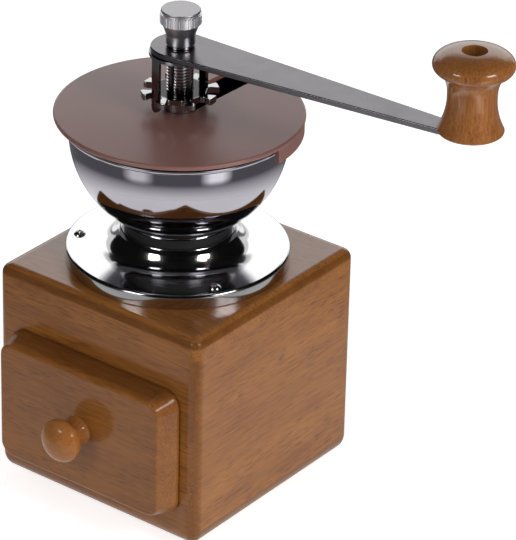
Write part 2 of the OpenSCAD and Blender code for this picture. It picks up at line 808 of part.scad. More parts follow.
// The shaft: burr end, plain part, threaded part, flats for the crank and a stud for the cap nut
module shaft() {
    burr_end = cone_z0 - washer_t - nut_t - 1;
    step_z = star_z0 - thread_below;
    seat_z = cone_z1 + cup_t;
    color("#b4b8bc") rotate(crank_angle) {
        translate([0, 0, burr_end]) cylinder(r = stud_r, h = seat_z - burr_end + eps, $fn = 48);
        translate([0, 0, seat_z]) cylinder(r = shank_r, h = step_z - seat_z, $fn = 64);
        translate([0, 0, step_z - eps]) cylinder(r = thread_r, h = stop_z0 - step_z + eps);
        intersection() {
            translate([0, 0, stop_z0 - eps]) cylinder(r = shank_r, h = stop_t + arm_t + eps, $fn = 64);
            translate([-flat_x, -shank_r, stop_z0 - 1]) cube([2 * flat_x, 2 * shank_r, stop_t + arm_t + 2]);
        }
        translate([0, 0, arm_z1 - eps]) cylinder(r = flat_x, h = cap_h * 0.72, $fn = 48);
    }
}

// The hole that fits the shaft's flats
module flat_hole(h) {
    intersection() {
        cylinder(r = shank_r, h = h, $fn = 64);
        translate([-flat_x, -shank_r, 0]) cube([2 * flat_x, 2 * shank_r, h]);
    }
}

// The stop plate under the crank; its two bent fingers drop through notches of the star nut
module stop_plate() {
    finger_angle = notch_phase + finger_notch * 360 / star_notches;
    finger_z = star_z1 - finger_reach;
    w = finger_w / 2;
    color("#c9ccd0") rotate(crank_angle) difference() {
        intersection() {
            translate([0, 0, finger_z - 1]) cylinder(r = stop_r, h = stop_z0 - finger_z + 1 + stop_t);
            union() {
                translate([-star_r, -star_r, stop_z0]) cube([2 * star_r, 2 * star_r, 2 * stop_t]);
                for (turn = [0, 180]) rotate(finger_angle + turn) {
                    translate([0, -w, finger_z + w]) cube([star_r, finger_w, stop_z0 - finger_z]);
                    translate([0, 0, finger_z + w]) rotate([0, 90, 0]) cylinder(r = w, h = star_r, $fn = 48);
                }
            }
        }
        translate([0, 0, finger_z - 2]) cylinder(r = stop_r - stop_t, h = stop_z0 - finger_z + 2);
        translate([0, 0, stop_z0 - 1]) flat_hole(stop_t + 2);
    }
}

// The flat arm: two round ends joined by their common tangents
module crank_arm() {
    lean = asin((arm_hub_r - arm_end_r) / arm_l);
    // The straight edges lie a hair inside the tangents, so that they cross the round ends
    function touch(x, r, s) = [x + (r - 0.03) * sin(lean), s * (r - 0.03) * cos(lean)];
    color("#6e7175") rotate(crank_angle) translate([0, 0, arm_z0]) difference() {
        linear_extrude(arm_t) {
            circle(arm_hub_r);
            translate([arm_l, 0]) circle(arm_end_r, $fn = 64);
            polygon([touch(0, arm_hub_r, 1), touch(0, arm_hub_r, -1),
                touch(arm_l, arm_end_r, -1), touch(arm_l, arm_end_r, 1)]);
        }
        translate([0, 0, -1]) flat_hole(arm_t + 2);
        translate([arm_l, 0, -1]) cylinder(r = pin_r, h = arm_t + 2, $fn = 48);
    }
}

// The knob's pin: riveted under the arm, with a head at the counterbore's floor
module knob_pin() {
    head_z = knob_z0 + knob_h - knob_bore_h + move_gap;
    color("silver") rotate(crank_angle) translate([arm_l, 0, 0]) {
        translate([0, 0, arm_z0 - 1.2]) cylinder(r = pin_r + 1.2, h = 1.2, $fn = 48);
        translate([0, 0, arm_z0 - eps]) cylinder(r = pin_r, h = head_z - arm_z0 + eps, $fn = 48);
        translate([0, 0, head_z]) cylinder(r = knob_bore_r - 0.5, h = 2, $fn = 48);
    }
}

module knob_washer() {
    color("silver") rotate(crank_angle) translate([arm_l, 0, arm_z1]) difference() {
        cylinder(r = 2 * pin_r, h = knob_washer_t, $fn = 48);
        translate([0, 0, -1]) cylinder(r = pin_r, h = knob_washer_t + 2, $fn = 48);
    }
}

// The turned crank knob: a bell that narrows to a waist, a rounded rim, and a domed top
module crank_knob() {
    edge_r = 1.2;
    rim_r = knob_head_r * 0.2;
    waist_z = knob_h * 0.42;
    head_z = knob_h * 0.83;
    top_z = knob_h - head_z;
    cove_r = knob_head_r - rim_r + rim_r * cos(80);
    cove_z = head_z - rim_r * sin(80);
    color("#a0622e") rotate(crank_angle) translate([arm_l, 0, knob_z0]) difference() {
        rotate_extrude() polygon(concat(
            [[0, 0]],
            [for (i = [0 : 4]) let (a = -90 + i * 22.5)
                [knob_base_r - edge_r + edge_r * cos(a), edge_r + edge_r * sin(a)]],
            [for (i = [1 : 8]) let (t = i / 8)
                [knob_waist_r + (knob_base_r - knob_waist_r) * pow(1 - t, 2),
                    edge_r + (waist_z - edge_r) * t]],
            [for (i = [1 : 8]) let (t = i / 8)
                [knob_waist_r + (cove_r - knob_waist_r) * pow(t, 3), waist_z + (cove_z - waist_z) * t]],
            [for (i = [1 : 4]) let (a = -80 + i * 20)
                [knob_head_r - rim_r + rim_r * cos(a), head_z + rim_r * sin(a)]],
            [for (i = [1 : 10]) let (a = i * 8.4)
                [knob_head_r * pow(cos(a), 0.66), head_z + top_z * sin(a)]],
            [[0, knob_h]]));
        translate([0, 0, knob_h - knob_bore_h]) cylinder(r = knob_bore_r, h = knob_bore_h + 1, $fn = 48);
        translate([0, 0, -1]) cylinder(r = pin_r + fit, h = knob_h, $fn = 48);
    }
}

module cap_washer() {
    color("silver") translate([0, 0, arm_z1 + move_gap / 2]) difference() {
        cylinder(r = cap_neck_r, h = 0.6, $fn = 64);
        translate([0, 0, -1]) cylinder(r = flat_x + fit, h = 3, $fn = 48);
    }
}

// The cap nut: a neck, a flare, a ribbed grip and a flat disc on top
module cap_nut() {
    grip_z0 = cap_h * 0.6;
    grip_z1 = cap_h * 0.9;
    rib = 0.5;
    groove_r = cap_grip_r - rib;
    color("#b4b8bc") translate([0, 0, cap_z0]) difference() {
        union() {
            rotate_extrude() polygon([[0, 0], [cap_neck_r, 0], [cap_neck_r, cap_h * 0.3],
                [groove_r - 0.8, grip_z0 + rib], [groove_r - 0.8, grip_z1 + rib], [groove_r, grip_z1 + rib],
                [groove_r, cap_h - 0.3], [groove_r - 0.3, cap_h], [0, cap_h]]);
            translate([0, 0, grip_z0]) linear_extrude(grip_z1 - grip_z0) polygon(
                [for (i = [0 : cap_ribs - 1], k = [0 : 3])
                    let (a = (i + k / 4) * 360 / cap_ribs, r = k < 2 ? cap_grip_r : groove_r)
                        [r * cos(a), r * sin(a)]]);
        }
        translate([0, 0, -1]) cylinder(r = flat_x + fit, h = cap_h * 0.78 + 1, $fn = 48);
    }
}

top_board();
base_board();
front_board();
back_board();
left_board();
right_board();
runner_left();
runner_right();
feet();
throat_casting();
flange_screws();
burr_ring();
ring_retainer();
retainer_screws();
shaft_guide();
lower_bush();
bowl_gasket();
bowl();
bridge();
bridge_screws();
upper_bush();
drawer_front();
drawer_side_left();
drawer_side_right();
drawer_back();
drawer_bottom();
drawer_knob();
drawer_knob_screw();
lid();
thrust_washer();
star_nut();
shaft();
cone_burr();
cone_washer();
cone_nut();
spring_cup();
burr_spring();
stop_plate();
crank_arm();
knob_pin();
knob_washer();
crank_knob();
cap_washer();
cap_nut();
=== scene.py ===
# %% [markdown]
# # A burr coffee grinder with its finishes
#
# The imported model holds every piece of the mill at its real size: a wooden box with a drawer, a
# plated throat and bowl, a brown lid, and a crank on a threaded shaft. This script keeps that frame
# and gives each piece its finish. Where a curve, a thread or a rounded edge shows, it makes the
# surface anew with numpy, in metres, at the place that the frame gives.

# %% Frame and libraries
import math

import bmesh
import bpy
import numpy as np
from mathutils import Matrix, Vector


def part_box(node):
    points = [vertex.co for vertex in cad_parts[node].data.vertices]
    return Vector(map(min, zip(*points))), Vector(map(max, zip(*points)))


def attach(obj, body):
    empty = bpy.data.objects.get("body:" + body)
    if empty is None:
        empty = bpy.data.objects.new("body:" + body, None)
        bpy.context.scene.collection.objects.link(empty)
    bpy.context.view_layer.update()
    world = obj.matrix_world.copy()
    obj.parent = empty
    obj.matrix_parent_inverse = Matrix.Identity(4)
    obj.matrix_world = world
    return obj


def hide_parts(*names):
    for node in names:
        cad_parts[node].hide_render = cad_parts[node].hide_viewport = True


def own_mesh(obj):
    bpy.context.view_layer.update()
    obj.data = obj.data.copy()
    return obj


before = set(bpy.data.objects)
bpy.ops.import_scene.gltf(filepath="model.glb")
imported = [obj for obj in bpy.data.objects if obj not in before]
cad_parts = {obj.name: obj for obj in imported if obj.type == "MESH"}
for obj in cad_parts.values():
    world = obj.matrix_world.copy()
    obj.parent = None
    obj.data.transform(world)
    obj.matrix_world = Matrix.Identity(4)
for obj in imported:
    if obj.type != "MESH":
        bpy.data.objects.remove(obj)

MM = 0.001
TURN = 2 * math.pi
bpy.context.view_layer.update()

# %% [markdown]
# ## Camera
#
# A long lens from 1.7 metres away keeps upright edges nearly parallel. The camera looks down at the
# front right corner of the box, and is turned a little about its own axis. It aims beside the shaft,
# because the crank reaches out to the right. A camera can be turned by hand or with a Track To
# constraint. Here its three axes are worked out from the angles, so each can be changed by itself.

# %% Camera
AZIMUTH, ELEVATION, ROLL = map(math.radians, (37.05, 28.67, 1.42))
DISTANCE = 1.7047
LENS = 247.7
FAR_CLIP = 20
AIM_SIDE, AIM_UP, AIM_Z = 0.0369, 0.00195, 0.1

towards_camera = Vector((math.sin(AZIMUTH) * math.cos(ELEVATION),
                         -math.cos(AZIMUTH) * math.cos(ELEVATION), math.sin(ELEVATION)))
level_side = Vector((math.cos(AZIMUTH), math.sin(AZIMUTH), 0))
level_up = towards_camera.cross(level_side)
camera_side = math.cos(ROLL) * level_side + math.sin(ROLL) * level_up
camera_up = math.cos(ROLL) * level_up - math.sin(ROLL) * level_side
aim = Vector((0, 0, AIM_Z)) + AIM_SIDE * camera_side + AIM_UP * camera_up

camera = bpy.data.objects.new("camera", bpy.data.cameras.new("camera"))
bpy.context.scene.collection.objects.link(camera)
camera.matrix_world = Matrix.Translation(aim + DISTANCE * towards_camera) @ Matrix(
    (camera_side, camera_up, towards_camera)).transposed().to_4x4()
camera.data.lens = LENS
camera.data.clip_end = FAR_CLIP
bpy.context.scene.camera = camera
bpy.context.scene.view_settings.view_transform = "Standard"
print("camera at", [round(c, 3) for c in camera.matrix_world.translation])

# %% [markdown]
# ## Shader maths as Python
#
# A material is a tree of nodes. `Value` wraps one output socket, so that `1 - mask * 0.3` adds the
# Math nodes by itself. `Tree.add` makes any other node: first its type and settings, then the values
# or links of its sockets. The short methods after it name the few nodes that every finish needs. Each
# node and link could be written out instead, but a formula that reads as one is easier to change. All
# patterns lie in the piece's own space, in metres, so they keep their size and move with the piece.

# %% Shader helpers
class Value:
    """A node's output socket that takes part in arithmetic."""

    def __init__(self, tree, socket):
        self.tree, self.socket = tree, socket

    def math(self, operation, first, second):
        """One Math node."""
        return self.tree.add("Math", {"operation": operation}, {0: first, 1: second})

    def __add__(self, other):
        return self.math("ADD", self, other)

    def __radd__(self, other):
        return self.math("ADD", other, self)

    def __sub__(self, other):
        return self.math("SUBTRACT", self, other)

    def __rsub__(self, other):
        return self.math("SUBTRACT", other, self)

    def __mul__(self, other):
        return self.math("MULTIPLY", self, other)

    def __rmul__(self, other):
        return self.math("MULTIPLY", other, self)

    def __truediv__(self, other):
        return self.math("DIVIDE", self, other)

    def __rtruediv__(self, other):
        return self.math("DIVIDE", other, self)

    def __abs__(self):
        return self.math("ABSOLUTE", self, 0.0)


class Tree:
    """A node tree of a material or of the world."""

    def __init__(self, owner):
        owner.use_nodes = True
        self.nodes, self.links = owner.node_tree.nodes, owner.node_tree.links
        self.nodes.clear()

    def add(self, kind, settings=None, inputs=None, out=0):
        """Makes one node and returns its output: settings come first, then values and links."""
        node = self.nodes.new("ShaderNode" + kind)
        for name, setting in (settings or {}).items():
            if name == "stops":
                set_stops(node.color_ramp.elements, setting)
            else:
                setattr(node, name, setting)
        for name, given in (inputs or {}).items():
            if isinstance(given, Value):
                self.links.new(given.socket, node.inputs[name])
            else:
                node.inputs[name].default_value = given
        return Value(self, node.outputs[out]) if node.outputs else node

    def mix(self, factor, first, second):
        """A colour between two colours."""
        return self.add("Mix", {"data_type": "RGBA"}, {0: factor, 6: first, 7: second}, out=2)

    def noise(self, place, scale, detail=2.0, roughness=0.5):
        """Soft noise with a middle value of about 0.5; the scale counts features in a metre."""
        return self.add("TexNoise", None, {"Vector": place, "Scale": scale, "Detail": detail,
                                           "Roughness": roughness})

    def ramp(self, value, stops):
        """A grey slope: pairs of position and brightness."""
        grey = [(position, (bright, bright, bright, 1)) for position, bright in stops]
        return self.add("ValToRGB", {"stops": grey}, {0: value})

    def rise(self, value, start, end, top=1.0):
        """0 below the start and `top` above the end."""
        return self.ramp(value, [(start, 0.0), (end, top)])

    def place(self, stretch=(1, 1, 1), shift=(0, 0, 0)):
        """A point of the piece in metres, moved and stretched for a pattern."""
        point = self.add("TexCoord", None, None, out=3)
        return self.add("Mapping", None, {"Vector": point, "Location": shift, "Scale": stretch})

    def coordinate(self, index):
        """x, y or z of the place, for the index 0, 1 or 2."""
        return self.add("SeparateXYZ", None, {0: self.place()}, out=index)

    def from_axis(self):
        """The distance from the shaft's line."""
        return self.add("VectorMath", {"operation": "LENGTH"}, {0: self.place((1, 1, 0))}, out=1)


def set_stops(elements, stops):
    """Gives a colour ramp its stops."""
    while len(elements) < len(stops):
        elements.new(0.5)
    for element, (position, tint) in zip(elements, stops):
        element.position, element.color = position, tint


def colour(red, green, blue):
    """A display colour of 0 to 255 as the linear colour that shaders use."""
    share = np.array([red, green, blue]) / 255
    linear = np.where(share <= 0.04045, share / 12.92, ((share + 0.055) / 1.055) ** 2.4)
    return (*linear.tolist(), 1.0)


def scaled(tint, factor):
    """A darker or paler colour."""
    return tuple(min(c * factor, 1.0) for c in tint[:3]) + (1.0,)


def finish(name, inputs):
    """A new material on one Principled shader; `inputs` gets the tree and gives the sockets."""
    material = bpy.data.materials.new(name)
    tree = Tree(material)
    shader = tree.add("BsdfPrincipled", None, inputs(tree))
    tree.add("OutputMaterial", None, {"Surface": shader})
    return material


print("a mid wood colour in linear light:", [round(c, 3) for c in colour(150, 95, 45)])

# %% [markdown]
# ## Stained and varnished wood
#
# The box is made of a light hardwood, stained brown and sprayed with a clear varnish. Its grain runs
# sideways on every face. Long soft bands follow the grain, and short dark pores lie in groups along
# it. An image of wood could be wrapped round each board. Noise, stretched along the grain's direction,
# is used instead, because it has no seams and stays sharp from near by.
#
# Along rounded edges the colour is painted darker, as painted shade: the top board's along its rim,
# the drawer front's at its top, and the side boards' near the upright corners. The varnish is the coat
# of the shader, so its reflection stays clear over the softer wood. It is thin on the sides, full on
# the top board's upper face and nearly full on the knob. The wood inside the drawer is bare.

# %% Wood
ALONG_X, ALONG_Y, ALONG_Z = (1, 0, 0), (0, 1, 0), (0, 0, 1)


def stretch_along(axis, length, width):
    """Scales that make a pattern `length` long in the grain's direction and `width` wide across."""
    return tuple(1 / length if a else 1 / width for a in axis)


def stained_wood(name, axis, dark, light, coat=0.38, gloss=0.1, pores=0.65, polish_from=None,
                 shade=None, corner=None):
    """Varnished wood whose grain runs along one axis of the mill.

    Above the height `polish_from` the varnish is a full coat. Between the two heights of `shade`
    the colour is painted darker, as painted shade on a rounded edge, and so it is near the corners,
    at the distance `corner` from the middle along the grain.
    """
    pore_dark = (dark[0] * 0.4, dark[1] * 0.35, dark[2] * 0.5, 1.0)
    # Painted shade: the darker colour of rounded edges and corners.
    painted_shade_colour = scaled(dark, 0.4)

    def grain(t, length, width, shift=(0, 0, 0), detail=2.0, roughness=0.5):
        """Noise in streaks of a length along the grain and a width across it, in metres."""
        return t.noise(t.place(stretch_along(axis, length, width), shift), 1.0, detail, roughness)

    def inputs(t):
        bands = grain(t, 0.11, 0.009, detail=3.0)
        streaks = grain(t, 0.018, 0.0011, detail=3.0, roughness=0.6)
        clouds = grain(t, 0.06, 0.03, shift=(3, 1, 2))
        pore = grain(t, 0.0075, 0.00036, shift=(7, 2, 5), detail=1.0)
        groups = t.rise(grain(t, 0.04, 0.009), 0.36, 0.6)
        pore_mask = t.rise(pore, 0.53, 0.66) * (groups * 0.75 + 0.25)
        tone = bands * 0.3 + streaks * 0.55 + clouds * 0.35 - 0.1
        wood = t.mix(t.rise(tone, 0.25, 0.75), dark, light)
        wood = t.mix(pore_mask * pores, wood, pore_dark)
        sunk = t.add("Bump", None, {"Strength": 0.25, "Distance": 0.08 * MM, "Height": 1 - pore_mask})
        varnish = coat
        if polish_from is not None:
            full = t.rise((t.coordinate(2) - polish_from) / (2 * MM), 0.0, 1.0)
            varnish = coat + full * (1 - coat)
        if shade is not None:
            low, high = shade
            # Painted shade in a band between the two heights.
            painted_shade_band = t.ramp((t.coordinate(2) - low) / (high - low) * 0.6 + 0.2,
                            [(0.18, 0.0), (0.3, 1.0), (0.7, 1.0), (0.82, 0.0)])
            wood = t.mix(painted_shade_band * 0.55, wood, painted_shade_colour)
        if corner is not None:
            # Painted shade near the upright corners.
            reach = abs(t.coordinate(axis.index(1)) / corner)
            wood = t.mix(t.rise(reach, 0.9, 0.965, top=0.42), wood, painted_shade_colour)
        return {"Base Color": wood, "Roughness": 0.42 + streaks * 0.12, "Normal": sunk,
                "Specular IOR Level": 0.15, "Coat Weight": varnish, "Coat Roughness": gloss}
    return finish(name, inputs)


BOX_DARK, BOX_LIGHT = colour(112, 63, 24), colour(166, 108, 48)
box_wood_x = stained_wood("box_wood_front", ALONG_X, BOX_DARK, BOX_LIGHT, corner=58 * MM)
box_wood_y = stained_wood("box_wood_side", ALONG_Y, BOX_DARK, BOX_LIGHT, corner=58.5 * MM)
box_top, front_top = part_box("top_board")[1].z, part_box("drawer_front")[1].z
# The top board's rim and the drawer front's top get a band of painted shade.
top_wood = stained_wood("top_wood", ALONG_X, BOX_DARK, BOX_LIGHT, gloss=0.2,
                        polish_from=box_top - 2 * MM, shade=(box_top - 4.5 * MM, box_top - MM))
drawer_wood = stained_wood("drawer_wood", ALONG_X, colour(110, 62, 24), colour(160, 103, 47),
                           shade=(front_top - 2.6 * MM, front_top + 3 * MM))
knob_wood = stained_wood("knob_wood", ALONG_Z, colour(108, 58, 24), colour(170, 112, 58),
                         coat=0.9, gloss=0.12, pores=0.45)
pull_wood = stained_wood("pull_wood", ALONG_Y, colour(128, 74, 30), colour(172, 112, 56), gloss=0.08,
                         pores=0.3)
bare_wood = stained_wood("bare_wood", ALONG_Y, colour(182, 142, 96), colour(208, 172, 124), coat=0.0,
                         gloss=0.5, pores=0.3)
print("woods:", [m.name for m in bpy.data.materials if "wood" in m.name])

# %% [markdown]
# ## Metals, rubber, ceramic and plastic
#
# Plating is a mirror with faint clouds in its gloss, so its roughness is low and varies slightly. The
# bowl has a cool tint and the crank arm is darker. The star nut is bright towards its teeth, and its
# middle, under the stop plate, is painted nearly black as painted shade. The burrs are unglazed
# ceramic, and the lid is moulded in brown plastic with a fine, even texture that spreads its highlight.
# One colour and one roughness would be enough from afar, but they look like paint on a curved mirror.
# Two functions with a little noise serve all the plated and all the moulded pieces.

# %% Metals and the rest
def plated(name, tint, rough, wave=0.0):
    """Bright plating: a metal with faint cloudiness in its gloss and a hint of waviness."""
    def inputs(t):
        clouds = t.noise(t.place(), 90.0, 3.0)
        result = {"Base Color": t.mix(clouds * 0.25, tint, scaled(tint, 0.9)),
                  "Metallic": 1.0, "Roughness": rough + clouds * rough * 0.6}
        if wave:
            result["Normal"] = t.add("Bump", None, {
                "Strength": wave, "Distance": 0.02 * MM, "Height": t.noise(t.place(), 220.0)})
        return result
    return finish(name, inputs)


def moulded(name, base, rough, grain_size, depth):
    """Matt or satin plastic, rubber or ceramic with a fine grain."""
    def inputs(t):
        grain = t.noise(t.place(), 1 / grain_size, 3.0, 0.6)
        clouds = t.noise(t.place(), 45.0)
        return {"Base Color": t.mix(clouds, base, scaled(base, 1.18)),
                "Roughness": rough + (grain - 0.5) * 0.1,
                "Normal": t.add("Bump", None, {"Strength": 0.35, "Distance": depth, "Height": grain})}
    return finish(name, inputs)


def star_plating_painted_shade(t):
    """Painted shade round the shaft; bright from a radius of about 12 mm outwards."""
    bright = t.rise(t.from_axis() / (20 * MM), 0.56, 0.63)
    return {"Base Color": t.mix(bright, (0.012, 0.012, 0.013, 1), (0.36, 0.355, 0.37, 1)),
            "Metallic": 1.0, "Roughness": 0.1}


chrome = plated("chrome", (0.56, 0.56, 0.565, 1), 0.08)
bowl_chrome = plated("bowl_chrome", (0.40, 0.385, 0.425, 1), 0.06)
# The star nut's nearly black middle is painted shade.
star_chrome_painted_shade = finish("star_chrome_painted_shade", star_plating_painted_shade)
black_chrome = plated("black_chrome", (0.24, 0.235, 0.24, 1), 0.1)
dark_chrome = plated("dark_chrome", (0.145, 0.14, 0.15, 1), 0.2, 0.05)
bright_steel = plated("bright_steel", (0.56, 0.55, 0.57, 1), 0.12, 0.1)
satin_steel = plated("satin_steel", (0.50, 0.50, 0.51, 1), 0.3, 0.1)
bronze = plated("bronze", (0.62, 0.44, 0.20, 1), 0.3)
rubber = moulded("rubber", colour(26, 25, 26), 0.6, 0.6 * MM, 0.03 * MM)
burr_ceramic = moulded("burr_ceramic", colour(232, 228, 216), 0.55, 0.4 * MM, 0.02 * MM)
lid_plastic = moulded("lid_plastic", colour(126, 88, 81), 0.36, 0.5 * MM, 0.02 * MM)
print("materials:", len(bpy.data.materials))

# %% [markdown]
# ## Surfaces from grids
#
# Each new surface is a grid of points, rows by columns, from one formula. Blender's own shapes and
# modifiers could make many of them. A formula is chosen because it gives exact sizes, rows where the
# curve needs them, and edges that are sure to close. From here on sizes are in millimetres, and
# `surface` turns them into metres. It also closes the mesh, smooths it and sets it in the frame, where
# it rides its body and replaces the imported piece.

# %% Grid helpers
def lattice(rows, columns, close_rows, close_columns):
    """The four corners of each face of a grid, as indices into its points."""
    row = np.arange(rows if close_rows else rows - 1)[:, None]
    column = np.arange(columns if close_columns else columns - 1)[None, :]
    next_row, next_column = (row + 1) % rows, (column + 1) % columns
    corners = [row * columns + column, row * columns + next_column,
               next_row * columns + next_column, next_row * columns + column]
    return np.stack(np.broadcast_arrays(*corners), -1).reshape(-1, 4)


def mesh_piece(name, mesh, material, body, nodes, sharp=32):
    """Cleans a mesh, smooths its shading and sets it in the frame in place of CAD nodes."""
    shape = bmesh.new()
    shape.from_mesh(mesh)
    bmesh.ops.remove_doubles(shape, verts=shape.verts, dist=2e-6)
    bmesh.ops.dissolve_degenerate(shape, edges=shape.edges, dist=1e-6)
    bmesh.ops.recalc_face_normals(shape, faces=shape.faces)
    shape.to_mesh(mesh)
    shape.free()
    mesh.shade_smooth()
    mesh.set_sharp_from_angle(angle=math.radians(sharp))
    mesh.materials.clear()
    mesh.materials.append(material)
    piece = bpy.data.objects.new(name, mesh)
    bpy.context.scene.collection.objects.link(piece)
    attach(piece, body)
    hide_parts(*nodes)
    return piece


def even_normals(piece):
    """Large flat faces keep flat shading beside their rounded edges."""
    normals = piece.modifiers.new("even_normals", "WEIGHTED_NORMAL")
    normals.keep_sharp = True
    normals.weight = 90
    return piece


def surface(name, grids, material, body, slot, nodes, sharp=32, close_rows=False, close_columns=True):
    """One piece from grids of points in millimetres."""
    points, faces, count = [], [], 0
    for grid in grids:
        rows, columns = grid.shape[:2]
        points.append(grid.reshape(-1, 3) * MM)
        faces.append(lattice(rows, columns, close_rows, close_columns) + count)
        count += rows * columns
    mesh = bpy.data.meshes.new(name)
    mesh.from_pydata(np.concatenate(points).tolist(), [], np.concatenate(faces).tolist())
    return even_normals(mesh_piece(name, mesh, material, body, nodes, sharp))


def unit(vector):
    """A vector of the length 1 in the same direction."""
    return vector / np.linalg.norm(vector)


def rounded(corners, steps=6):
    """A path through corners (a, b, radius), each rounded by an arc: centre + sin-weighted spokes."""
    corners = np.array([tuple(c) + (0,) * (3 - len(c)) for c in corners], float)
    path = []
    for before, here, after in zip(np.roll(corners, 1, 0), corners, np.roll(corners, -1, 0)):
        point, radius = here[:2], here[2]
        if radius == 0:
            path.append(point[None])
            continue
        back, on = unit(before[:2] - point), unit(after[:2] - point)
        half = math.acos(np.clip(back @ on, -1, 1)) / 2
        start, end = point + back * radius / math.tan(half), point + on * radius / math.tan(half)
        centre = point + unit(back + on) * radius / math.sin(half)
        share, sweep = np.linspace(0, 1, steps)[:, None], math.pi - 2 * half
        path.append(centre + (np.sin((1 - share) * sweep) * (start - centre)
                              + np.sin(share * sweep) * (end - centre)) / math.sin(sweep))
    return np.concatenate(path)


def arc(centre, radius, start, end, steps=12):
    """Points on a circle between two angles in degrees."""
    angle = np.radians(np.linspace(start, end, steps))
    return np.stack([centre[0] + radius * np.cos(angle), centre[1] + radius * np.sin(angle)], -1)


def ring(profile, count=160):
    """A turned grid: point(i, a) = (r_i cos a, r_i sin a, z_i) for a profile of (r, z)."""
    angle = np.arange(count) * TURN / count
    radius, height = np.asarray(profile, float).T[:, :, None]
    return np.stack([radius * np.cos(angle), radius * np.sin(angle), height + 0 * angle], -1)


def outline(half_w, half_d, radius, steps=8):
    """A rectangle with round corners: (+-(w - r) + r cos a, +-(d - r) + r sin a)."""
    angle = (np.linspace(0, TURN / 4, steps + 1) + np.arange(4)[:, None] * TURN / 4).ravel()
    sign_w, sign_d = (np.repeat(s, steps + 1) for s in ([1, -1, -1, 1], [1, 1, -1, -1]))
    return np.stack([sign_w * (half_w - radius) + radius * np.cos(angle),
                     sign_d * (half_d - radius) + radius * np.sin(angle)], -1)


def lifted(flat, height):
    """A row of a grid: a flat outline lifted to one height."""
    return np.column_stack([flat, np.full(len(flat), height)])


def span(node):
    """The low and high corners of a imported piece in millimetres."""
    low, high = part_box(node)
    return np.array(low) / MM, np.array(high) / MM


print("faces of a 4 by 3 tube:", len(lattice(4, 3, False, True)))

# %% [markdown]
# ## The wooden box
#
# Four boards meet in mitres at the upright corners. A top board and a base board close them. Every
# outer edge is rounded with a router, the bottom ones most. The grain runs along the length of each
# board, and it turns at the mitres. The front board is cut out behind the drawer's front, which
# covers the opening's edges. One cube with a Bevel modifier would have the same outside, but it could
# not give each board its own grain. One function makes the four upright boards and turns them round
# the shaft, and another makes the two flat ones.

# %% Box
BOX_W, BOX_D, WALL = 116, 117, 9
EDGE_R, TOP_R, BASE_R = 5, 5, 9
BOX_Z0, FLOOR_Z, CEILING_Z, BOX_Z1 = 1.5, 10.5, 100, 110
SPIGOT_R = 30
BOX = ("housing", "box_wood")
front_low, front_high = span("drawer_front")
FRONT_W, FRONT_T, FRONT_H = front_high - front_low
FRONT_Y, FRONT_Z = front_high[1], (front_low[2] + front_high[2]) / 2
COVER_SIDE, COVER_UP = 6, 3.5
HALF_OPENING = (FRONT_W / 2 - COVER_SIDE, FRONT_H / 2 - COVER_UP)


def side_board(node, width, depth, turns, material, half_open=(0, 0)):
    """A mitred board: each row is an upright rectangle of half width w, half height h, at depth y."""
    bend = np.linspace(0, math.pi / 4, 13)
    middle, tall = (CEILING_Z + FLOOR_Z) / 2, (CEILING_Z - FLOOR_Z) / 2
    round_w = width / 2 - EDGE_R + EDGE_R * np.sin(bend)
    round_y = -depth / 2 + EDGE_R - EDGE_R * np.cos(bend)
    w = np.concatenate([[half_open[0]], round_w, [width / 2 - WALL, half_open[0]]])[:, None]
    y = np.concatenate([[-depth / 2], round_y, [-depth / 2 + WALL] * 2])[:, None]
    z = np.concatenate([[FRONT_Z], np.full(14, middle), [FRONT_Z]])[:, None]
    h = np.concatenate([[half_open[1]], np.full(14, tall), [half_open[1]]])[:, None]
    across, up = np.array([-1, 1, 1, -1]), np.array([-1, -1, 1, 1])
    grid = np.stack([w * across, y + 0 * across, z + h * up], -1)
    turn = np.array([[1, 0, 0], [0, 1, 0], [0, 0, 1]], float)
    for _ in range(turns):
        turn = np.array([[0, -1, 0], [1, 0, 0], [0, 0, 1]], float) @ turn
    return surface("board_" + node, [grid @ turn.T], material, *BOX, [node], close_rows=any(half_open))


def slab(node, rows, hole, material):
    """A board with rounded edges: rows of (inset, height), then a round hole or none."""
    flats = [lifted(outline(BOX_W / 2 - i, BOX_D / 2 - i, max(EDGE_R - i, 0.8)), z) for i, z in rows]
    edge = flats[0][:, :2]
    circle = edge / np.linalg.norm(edge, axis=1)[:, None] * hole
    grid = np.stack([lifted(circle, rows[0][1]), *flats, lifted(circle, rows[-1][1])])
    return surface("board_" + node, [grid], material, *BOX, [node], close_rows=hole > 0)


side_board("front_board", BOX_W, BOX_D, 0, box_wood_x, HALF_OPENING)
side_board("right_board", BOX_D, BOX_W, 1, box_wood_y)
side_board("back_board", BOX_W, BOX_D, 2, box_wood_x)
side_board("left_board", BOX_D, BOX_W, 3, box_wood_y)
top_round = [(TOP_R - r, z) for r, z in arc((0, BOX_Z1 - TOP_R), TOP_R, 0, 90)]
slab("top_board", [(0, CEILING_Z)] + top_round, SPIGOT_R, top_wood)
base_round = [(BASE_R - r, z) for r, z in arc((0, BOX_Z0 + BASE_R), BASE_R, -90, 0)]
slab("base_board", base_round + [(0, FLOOR_Z)], 0, box_wood_x)

# %% [markdown]
# ## Drawer front and its pull
#
# The front is a thick board whose face is raised by a wide slope all round, cut with the router. The
# pull is a small mushroom, turned on a lathe and polished. An inset and a bevel on a box could make
# the front. Rows of rounded rectangles give the lip, the slope and its soft edges in a single grid, and
# the corners keep their roundness all the way in.

# %% Drawer
DRAWER = ("drawer", "box_wood")
BEVEL, SLOPE_END, LIP_R = 3, 12, 8.5
STEM_R, HEAD_R = 5.6, 10.3


